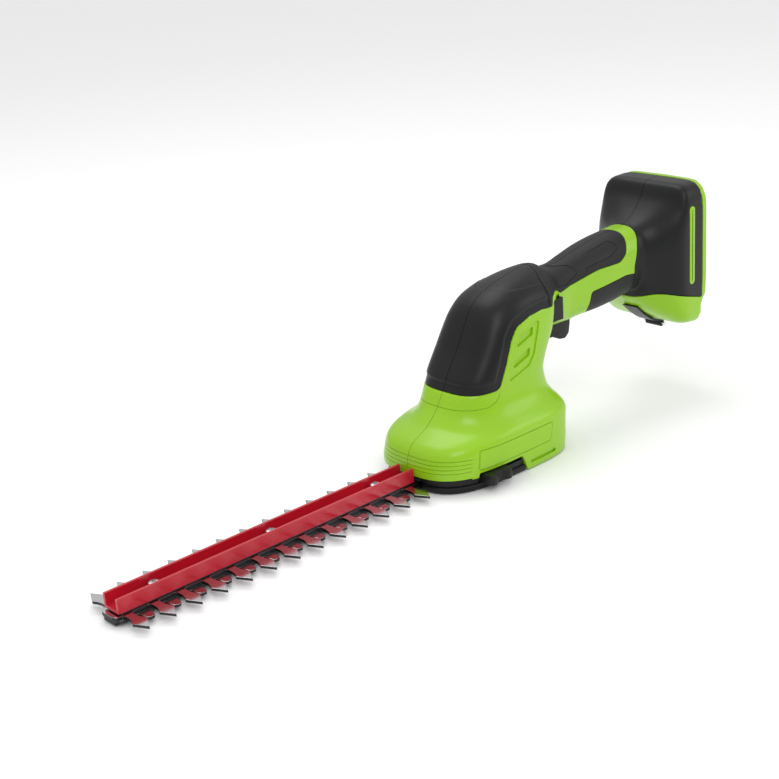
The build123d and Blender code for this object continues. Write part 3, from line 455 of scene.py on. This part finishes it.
def band(name, line, width, closed=False, low=-60.0, high=0.0):
    """A line in the side view with a width, carried across in Y."""
    points = [Vector(p) for p in line]
    ways = list(zip(points, points[1:] + points[:1])) if closed else list(zip(points, points[1:]))
    both = [[], []]
    for i, point in enumerate(points):
        before = points[i] - points[i - 1] if i or closed else points[1] - points[0]
        after = points[(i + 1) % len(points)] - point if i < len(points) - 1 or closed else before
        along = (before.normalized() + after.normalized()).normalized()
        aside = Vector((-along.y, along.x)) * width / 2 / max(0.6, along.dot(before.normalized()))
        both[0].append(point + aside)
        both[1].append(point - aside)
    count = len(points)
    corners = [(q.x, y, q.y) for y in (low, high) for edge in both for q in edge]
    faces = []
    for i in range(len(ways)):
        j = (i + 1) % count
        for a, b in ((0, 1), (3, 2), (1, 3), (2, 0)):
            faces.append((a * count + i, a * count + j, b * count + j, b * count + i))
    if not closed:
        faces += [(0, count, 3 * count, 2 * count), (count - 1, 3 * count - 1, 4 * count - 1, 2 * count - 1)]
    return piece_from(name, corners, faces)


form = copy_of(body, "form")
form_normals = [v.normal.copy() for v in form.data.vertices]

# Fine grooves: the step line under the cover, four lines round each end of the base, the frame
# round the badge, the outlines moulded into the soft grip and the edge of the dock's flank.
BADGE = [(-27, 13.6, 1.6), (33, 13.6, 1.6), (35.2, 25.0, 1.6), (-25.2, 25.0, 1.6)]
grooves = [band("line", [(-60, 43.6), (-12, 43.3), (-6, 43.6), (-1.5, 45), (1.4, 47), (3.0, 49.6)], 0.35)]
for i in range(4):
    grooves.append(band("line", [(-60, 14.2 + 2.3 * i), (-31.5 + 0.6 * i, 14.2 + 2.3 * i)], 0.3))
    grooves.append(band("line", [(53.0 - 0.4 * i, 16.6 + 2.4 * i), (70, 16.6 + 2.4 * i)], 0.3))
grooves.append(band("line", rounded(BADGE), 0.3, closed=True))
PALM_LINE = [(95, 96.0, 0), (97.5, 100.2, 3), (118, 102.6, 6), (128, 106.6, 5), (124, 110.6, 4),
             (104, 107.4, 0), (82, 104.9, 0)]
THUMB_LINE = [(66.5, 95.8, 0), (78, 94.6, 6), (90, 98.6, 5), (87, 103.6, 4), (76, 104.4, 0)]
grooves.append(band("line", rounded(PALM_LINE)[:-1], 0.3))
grooves.append(band("line", rounded(THUMB_LINE), 0.3))
groove_tool = boolean(joined("groove tool", grooves), skin_at(0.4), "DIFFERENCE")

# Deeper pockets: the panel round the vents, the recess of the lock paddle and the slot in the foot.
PADDLE_RECESS = [(54.6, 74.6, 1), (67.4, 74.6, 1), (69.4, 88.0, 2), (67.2, 92.2, 3), (60.4, 94.0, 4),
                 (56.2, 91.0, 3)]
VENT_PANEL = [(11.5, 54.0, 1), (19.5, 56.2, 1), (29.5, 59.2, 3), (34.0, 64.5, 5), (40.2, 84.0, 1.5),
              (36.5, 84.6, 2),
              (22.0, 79.5, 6), (17.6, 74.0, 4)]
FOOT_SLOT = [(15, 4.6, 1), (38, 4.6, 1), (38, 6.8, 1), (15, 6.8, 1)]
pockets = [side_block("pocket", rounded(shape), -60, 0) for shape in (PADDLE_RECESS, FOOT_SLOT)]
pocket_tool = boolean(joined("pocket tool", pockets), skin_at(1.2), "DIFFERENCE")
panel_tool = boolean(side_block("panel", rounded(VENT_PANEL), -60, 0), skin_at(0.8), "DIFFERENCE")

# The two slanted vents are moulded as deep pockets, and the paddle's window and the trigger's slot
# go right through the wall.
VENTS = [(27.4, 77.0), (23.6, 65.2)]
VENT_SLOPE = math.radians(18)
openings = []
vent_pockets = []
for x, z in VENTS:
    shape = [(-8.6, -2.2, 1.0), (6.4, -2.2, 1.6), (8.8, 2.2, 1.0), (-4.6, 2.2, 3.6)]
    turned = [(x + a * math.cos(VENT_SLOPE) - b * math.sin(VENT_SLOPE),
               z + a * math.sin(VENT_SLOPE) + b * math.cos(VENT_SLOPE), radius) for a, b, radius in shape]
    vent_pockets.append(side_block("vent", rounded(turned), -60, -15))
vent_tool = boolean(joined("vent tool", vent_pockets), skin_at(2.1), "DIFFERENCE")
PADDLE_WINDOW = [(56.3, 75.6, 1), (68.1, 75.6, 1), (68.1, 90.4, 1), (56.3, 90.4, 1)]
openings.append(side_block("window", rounded(PADDLE_WINDOW), -60, -11))
openings.append(side_block("trigger slot", [(63.3, 55), (92.3, 55), (92.3, 75), (63.3, 75)], -6.5, 6.5))
opening_tool = joined("opening tool", openings)

SKIRT = [(-62, -5, 0), (-62, 10.2, 0), (-31.2, 10.0, 0), (-30.8, 9.1, 0), (-27.2, 9.1, 0.5), (-26.4, 11.9, 1),
         (7.5, 11.9, 2), (13.2, 0.9, 1.5), (70, 0.9, 0), (70, -5, 0)]
boolean(body, side_block("skirt cut", rounded(SKIRT)), "DIFFERENCE")
boolean(body, block("near half", (-300, 300), (-100, -PARTING / 2), (-50, 200)), "INTERSECT")
boolean(body, hollow, "DIFFERENCE")
for tool in (groove_tool, pocket_tool, panel_tool, vent_tool, opening_tool):
    boolean(body, tool, "DIFFERENCE")
covers = {}
whole_skin = copy_of(body, "whole skin")
COVER_EDGES = {"motor_cover": COVER, "soft_grip": SOFT_GRIP, "lower_grip": LOWER_GRIP,
               "dock_cover": DOCK_COVER, "dock_base": DOCK_BASE}
CUTTER_OVERLAP = 0.03
for i, (name, corners) in enumerate(COVER_EDGES.items()):
    outline = rounded(corners)
    zone = side_block("zone", drawn_in(outline, PARTING))
    covers[name] = boolean(copy_of(whole_skin, name), zone, "INTERSECT")
    boolean(body, side_block("zone", drawn_in(outline, -CUTTER_OVERLAP * (i + 1))), "DIFFERENCE")
remove(whole_skin)


def mirrored(piece, name):
    """The other side's piece."""
    other = copy_of(piece, name)
    other.data.transform(Matrix.Diagonal((1, -1, 1, 1)))
    other.data.flip_normals()
    return other


for name, piece in covers.items():
    material, slot_name = {"motor_cover": (black, "black_plastic"), "soft_grip": (rubber, "soft_grip"),
                           "lower_grip": (rubber, "soft_grip"), "dock_cover": (black, "black_plastic"),
                           "dock_base": (green, "green_plastic")}[name]
    if name == "lower_grip":
        dress(mirrored(piece, "lower_grip_left"), material, "housing", slot_name, "lower_grip")
        piece.name = "lower_grip_right"
        dress(piece, material, "housing", slot_name, "lower_grip")
    else:
        dress(mirrored(piece, name + "_left_skin"), material, "housing", slot_name, name + "_left")
        piece.name = name + "_right_skin"
        dress(piece, material, "housing", slot_name, name + "_right")
dress(mirrored(body, "housing_left_skin"), green, "housing", "green_plastic", "housing_left")
body.name = "housing_right_skin"
dress(body, green, "housing", "green_plastic", "housing_right")


# ------------------------------------------------------------------------------------------
# Badge plates: a blank raised plate on each flank of the base, in the same green moulding.
# The fine groove cut round it above makes its frame.
plate = boolean(side_block("badge", drawn_in(rounded(BADGE), 0.45), -60, 0), skin_at(0.25), "DIFFERENCE")
plate = boolean(plate, skin_at(-0.22), "INTERSECT")
plate.name = "badge_right"
dress(mirrored(plate, "badge_left"), green, "housing", "green_plastic", "label_left")
dress(plate, green, "housing", "green_plastic", "label_right")
remove(form)


# ------------------------------------------------------------------------------------------
# Blade set: the fixed blade with its barbed teeth on top, the moving blade sliding under it and
# the support bar below. Stamped tool steel, ground flat and bright; the blades' upright edges carry painted
# shade and dark reflection.


def worked(name, node, width, rings=2):
    """A copy of a CAD piece with its flat faces merged and its edges broken by a small radius."""
    source = frame["nodes"][node]
    source = bpy.data.objects[source] if isinstance(source, str) else source
    build = bmesh.new()
    build.from_mesh(source.data)
    bmesh.ops.remove_doubles(build, verts=build.verts, dist=2e-6)
    bmesh.ops.dissolve_limit(build, angle_limit=math.radians(1.5), verts=build.verts, edges=build.edges)
    sharp = [e for e in build.edges if len(e.link_faces) == 2 and e.calc_face_angle(0) > math.radians(24)]
    bmesh.ops.bevel(build, geom=sharp, offset=width * 0.001, segments=rings, profile=0.5, affect="EDGES",
                    clamp_overlap=True)
    mesh = bpy.data.meshes.new(name)
    build.to_mesh(mesh)
    build.free()
    piece = bpy.data.objects.new(name, mesh)
    bpy.context.collection.objects.link(piece)
    return piece


def dress_worked(node, width, material, body_name, slot_name, name=None, angle=40):
    piece = dress(worked(name or node + "_worked", node, width), material, body_name, slot_name, node)
    piece.data.set_sharp_from_angle(angle=math.radians(angle))
    even = piece.modifiers.new("even shading", "WEIGHTED_NORMAL")
    even.keep_sharp = True
    return piece


def dark_edges(piece, material, steepness=0.5):
    """Paint the upright edges of a flat piece darker, as painted shade and dark reflection."""
    piece.data.materials.append(material)
    for face in piece.data.polygons:
        if abs(face.normal.z) < steepness:
            face.material_index = 1


steel = finish("ground_steel", (0.62, 0.62, 0.63), 0.13, 1.0)
add_grain(steel, 260, 0.004, (1, 14, 1))
add_uneven(steel, 60, "Roughness", (0.1, 0.1, 0.1), (0.19, 0.19, 0.19))
# Dark steel, used for the whole support bar and painted on the blades' upright edges as their shade and dark
# reflection.
dark_steel_painted_edge_shade = finish("dark_steel_and_painted_edge_shade", (0.045, 0.046, 0.048), 0.35, 1.0)
add_grain(dark_steel_painted_edge_shade, 700, 0.02)
moving_steel = finish("moving_blade_steel", (0.5, 0.5, 0.51), 0.16, 1.0)
add_grain(moving_steel, 260, 0.004, (1, 14, 1))
upper = dress_worked("upper_blade", 0.16, steel, "housing", "blade_steel", angle=20)
# The fixed blade's upright edges get painted shade and dark reflection.
dark_edges(upper, dark_steel_painted_edge_shade)
lower = dress_worked("lower_blade", 0.16, moving_steel, "moving_blade", "blade_steel", angle=20)
# The moving blade's upright edges get painted shade and dark reflection too.
dark_edges(lower, dark_steel_painted_edge_shade)
dress_worked("support_bar", 0.2, dark_steel_painted_edge_shade, "housing", "blade_steel")


# ------------------------------------------------------------------------------------------
# Stiffening channel: folded from 1.6 mm sheet and stove enamelled red, held down on the blades
# by three bright pan-head screws with cross recesses.
red = finish("red_enamel", (0.48, 0.008, 0.022), 0.27, coat=0.25)
add_grain(red, 420, 0.006)
add_uneven(red, 30, "Base Color", (0.455, 0.0075, 0.02), (0.505, 0.009, 0.025))
dress_worked("blade_channel", 0.35, red, "housing", "red_paint")
zinc = finish("zinc_plate", (0.7, 0.71, 0.73), 0.2, 1.0)
add_grain(zinc, 900, 0.004)
add_uneven(zinc, 200, "Roughness", (0.14, 0.14, 0.14), (0.28, 0.28, 0.28))


def turned(name, profile, count=40):
    """A piece turned about Z from (radius, height) pairs, closed at both ends."""
    rings = [[(r * math.cos(2 * math.pi * i / count), r * math.sin(2 * math.pi * i / count), z)
              for i in range(count)] for r, z in profile]
    return skin_over(name, rings)


screw_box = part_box("blade_screws")
screw_low, screw_high = (c[2] * 1000 for c in screw_box)
CAD_HEAD_RADIUS = 3.6
SCREW_SPACING = 76.4
HEAD_STAND = 2.6
screw_x = [screw_box[0][0] * 1000 + CAD_HEAD_RADIUS + SCREW_SPACING * i for i in range(3)]
screws = []
for i, x in enumerate(screw_x):
    top = screw_high + HEAD_STAND
    head = turned("screw", [(1.98, screw_low), (1.98, top - 5.0), (3.1, top - 5.0), (3.1, top - 2.1),
                            (3.25, top - 1.9),
                            (3.28, top - 1.1), (3.05, top - 0.5), (2.55, top - 0.15), (1.8, top), (0.4, top)])
    turn = math.radians((20, 65, 8)[i])
    for quarter in (0, math.pi / 2):
        slot = block("recess", (-1.75, 1.75), (-0.42, 0.42), (top - 1.1, top + 1))
        slot.data.transform(Matrix.Rotation(turn + quarter, 4, "Z"))
        boolean(head, slot, "DIFFERENCE")
    head.data.transform(Matrix.Translation(mm(x, 0, 0)))
    screws.append(head)
dress(joined("channel_screws", screws), zinc, "housing", "zinc_steel", "blade_screws")


# ------------------------------------------------------------------------------------------
# Blade carrier: the black glass-filled moulding that closes the base. A rounded lip runs round
# it below a groove, and the latch tabs and the blades come out through it.
LIP = [(0.0, 2.4), (0.5, 1.4), (1.3, 0.9), (3.6, 0.8), (4.6, 1.2), (5.0, 2.2), (6.0, 2.4), (6.5, 1.5),
       (9.0, 1.5),
       (9.3, 2.9), (11.6, 2.9)]
carrier = skin_over("carrier", [head_ring(z, inset) for z, inset in LIP])
boolean(carrier, block("front part", (-100, 11.6), (-60, 60), (-5, 20)), "INTERSECT")
heel = skin_over("heel", [head_ring(z, inset) for z, inset in ((0, 3.6), (0.8, 2.9), (11.6, 2.9))])
boolean(carrier, heel, "UNION")
boolean(carrier, skin_over("inside", [head_ring(z, 5.9) for z in (1.5, 6, 13)]), "DIFFERENCE")
boolean(carrier, block("blade slot", (-60, -35), (-9.3, 9.3), (2.3, 6.4)), "DIFFERENCE")
boolean(carrier, block("latch slots", (-25.3, -6.7), (-60, 60), (4.7, 13)), "DIFFERENCE")
dress(carrier, black, "housing", "black_plastic", "blade_carrier")
carrier.name = "carrier_moulding"


# ------------------------------------------------------------------------------------------
# Latch tabs: one black push tab on each side of the carrier, hollowed for a thumb and a finger.


def plan_block(name, outline, low, high):
    """An outline in X and Y, carried up in Z."""
    count = len(outline)
    points = [(x, y, low) for x, y in outline] + [(x, y, high) for x, y in outline]
    faces = [tuple(range(count)), tuple(range(count, 2 * count))]
    faces += [(i, (i + 1) % count, count + (i + 1) % count, count + i) for i in range(count)]
    return piece_from(name, points, faces)


def soften(piece, width, rings=3, angle=35):
    """Break a piece's edges with a small radius."""
    step = piece.modifiers.new("edges", "BEVEL")
    step.width = width * 0.001
    step.segments = rings
    step.limit_method = "ANGLE"
    step.angle_limit = math.radians(angle)
    return settle(piece)


TAB = [(-25, -30.2, 0), (-25, -42.8, 1.2), (-23.4, -44, 1.2), (-20.6, -44, 2), (-18.6, -41.6, 4),
       (-13.4, -41.6, 4),
       (-11.4, -44, 2), (-8.6, -44, 1.2), (-7, -42.8, 1.2), (-7, -30.2, 0)]
for side_name, turn in (("right", 1), ("left", -1)):
    tab = soften(plan_block("latch_push_" + side_name, rounded(TAB), 5.0, 11.2), 0.6)
    foot = block("foot", (-28.8, -3.2), (-31.5, -29.2), (1.9, 10.8))
    tab = joined("latch_push_" + side_name, [tab, foot])
    if turn < 0:
        tab.data.transform(Matrix.Diagonal((1, -1, 1, 1)))
        tab.data.flip_normals()
    dress(tab, black, side_name + "_latch", "black_plastic", "latch_tab_" + side_name)


# ------------------------------------------------------------------------------------------
# Trigger and lock-off: a curved black trigger under the neck, and a push bar right through the
# neck with a matt paddle on each side.
TRIGGER = [(64.5, 82, 0.5), (64.5, 64.0, 2), (68.5, 60.9, 3), (74.5, 60.4, 8), (80, 57.4, 4),
           (85.0, 56.8, 2.5),
           (88.6, 59.5, 3), (89.8, 66, 3), (89.8, 76, 1), (80, 78, 1), (72, 82, 1)]
trigger = soften(side_block("trigger_lever", rounded(TRIGGER), -6, 6), 1.6, 4)
dress(trigger, black, "trigger_lever", "black_plastic", "trigger")
dress_worked("lock_off_bar", 0.5, rubber, "lock_off", "black_plastic", name="lock_off_push")


# ------------------------------------------------------------------------------------------
# Battery dock: black tray with its ribs and contacts behind, the green rim plate round its mouth,
# a grooved green strip on each flank, and the black battery latch below.
dress_worked("dock_tray", 0.3, black, "housing", "black_plastic", name="battery_bay_tray")
dress_worked("dock_rim", 0.9, green, "housing", "green_plastic", name="bay_rim_plate")
dress_worked("battery_latch", 0.4, black, "dock_latch", "black_plastic", name="battery_latch_lever")
dress_worked("terminal_block", 0.4, black, "housing", "black_plastic", name="contact_block")
for side_name, turn in (("right", -1), ("left", 1)):
    strip = worked("flank_strip_" + side_name, "dock_strip_" + side_name, 0.4)
    groove = block("groove", (177.1, 177.9), sorted((turn * 34.1, turn * 36)), (75.5, 122.5))
    boolean(strip, groove, "DIFFERENCE")
    dress(strip, green, "housing", "green_plastic", "dock_strip_" + side_name)


# ------------------------------------------------------------------------------------------
# Works inside: gears, motor, switch, springs, screws and board keep their CAD shapes, and each
# gets its own metal or plastic here.
bright = finish("bright_steel", (0.74, 0.75, 0.77), 0.16, 1.0)
add_grain(bright, 800, 0.003)
dark = finish("blackened_steel", (0.06, 0.061, 0.064), 0.36, 1.0)
add_grain(dark, 600, 0.012)
magnet = finish("magnet", (0.07, 0.07, 0.075), 0.6, 0.4)
add_grain(magnet, 900, 0.02)
copper = finish("copper_windings", (0.62, 0.26, 0.11), 0.32, 1.0)
add_grain(copper, 1400, 0.05, (1, 1, 0.1))
brass = finish("brass", (0.74, 0.52, 0.19), 0.24, 1.0)
add_grain(brass, 700, 0.006)
board = finish("circuit_board", (0.012, 0.11, 0.045), 0.35, coat=0.3)
add_grain(board, 420, 0.02)
FINISHES = {"green_plastic": green, "black_plastic": black, "soft_grip": rubber, "red_paint": red,
            "blade_steel": steel, "dark_steel": dark, "zinc_steel": zinc, "bright_steel": bright,
            "magnet": magnet,
            "copper": copper, "brass": brass, "circuit_board": board}
for part in frame["record"]["subparts"]:
    node = frame["nodes"][part["node"]]
    node.data.materials.clear()
    node.data.materials.append(FINISHES[part["material_slot"]])


# ------------------------------------------------------------------------------------------
# Studio: a plain pale floor, soft light from both sides and above, and the camera
floor = piece_from("floor", [(-15000, -15000, 0), (15000, -15000, 0), (15000, 15000, 0), (-15000, 15000, 0)],
                   [(0, 1, 2, 3)])
floor.data.materials.append(finish("floor paint", (0.95, 0.95, 0.95), 1.0, gleam=0.0))
world = bpy.data.worlds.new("studio")
world.use_nodes = True
sky = world.node_tree
direction = sky.nodes.new("ShaderNodeTexCoord")
parts_of = sky.nodes.new("ShaderNodeSeparateXYZ")
shade = sky.nodes.new("ShaderNodeValToRGB")
shade.color_ramp.elements[0].position = 0.0
shade.color_ramp.elements[0].color = (0.45, 0.45, 0.45, 1)
shade.color_ramp.elements[1].position = 0.75
shade.color_ramp.elements[1].color = (1, 1, 1, 1)
sky.links.new(direction.outputs["Generated"], parts_of.inputs["Vector"])
sky.links.new(parts_of.outputs["Z"], shade.inputs["Fac"])
sky.links.new(shade.outputs["Color"], sky.nodes["Background"].inputs["Color"])
sky.nodes["Background"].inputs["Strength"].default_value = 0.95
bpy.context.scene.world = world


def soft_light(name, place, aim, size, power):
    lamp = bpy.data.lights.new(name, "AREA")
    lamp.shape = "RECTANGLE"
    lamp.size, lamp.size_y = size
    lamp.energy = power
    holder = bpy.data.objects.new(name, lamp)
    holder.location = place
    holder.rotation_euler = (Vector(aim) - Vector(place)).to_track_quat("-Z", "Y").to_euler()
    bpy.context.collection.objects.link(holder)


soft_light("key light", (-0.7, -0.9, 1.1), (0, 0, 0.05), (0.7, 0.7), 5)
soft_light("fill light", (0.9, -0.9, 0.6), (0.05, 0, 0.05), (0.5, 0.8), 2.5)
soft_light("top light", (0.1, 0.5, 1.2), (0, 0, 0.05), (0.9, 0.6), 4)

CAMERA_PLACE = mm(-589.15, -590.9, 360.02)
AZIMUTH, ELEVATION, ROLL = math.radians(-41.885), math.radians(20.389), math.radians(-4.022)
back = Vector((math.sin(AZIMUTH) * math.cos(ELEVATION), -math.cos(AZIMUTH) * math.cos(ELEVATION),
               math.sin(ELEVATION)))
level = Vector((-back.y, back.x, 0)).normalized()
upright = back.cross(level)
right = math.cos(ROLL) * level + math.sin(ROLL) * upright
up = math.cos(ROLL) * upright - math.sin(ROLL) * level
camera = bpy.data.objects.new("camera", bpy.data.cameras.new("camera"))
camera.matrix_world = Matrix.Translation(CAMERA_PLACE) @ Matrix((right, up, back)).transposed().to_4x4()
camera.data.sensor_width = 36
camera.data.lens = 69.5
camera.data.clip_start = 0.01
bpy.context.collection.objects.link(camera)
bpy.context.scene.camera = camera
bpy.context.scene.view_settings.view_transform = "Standard"
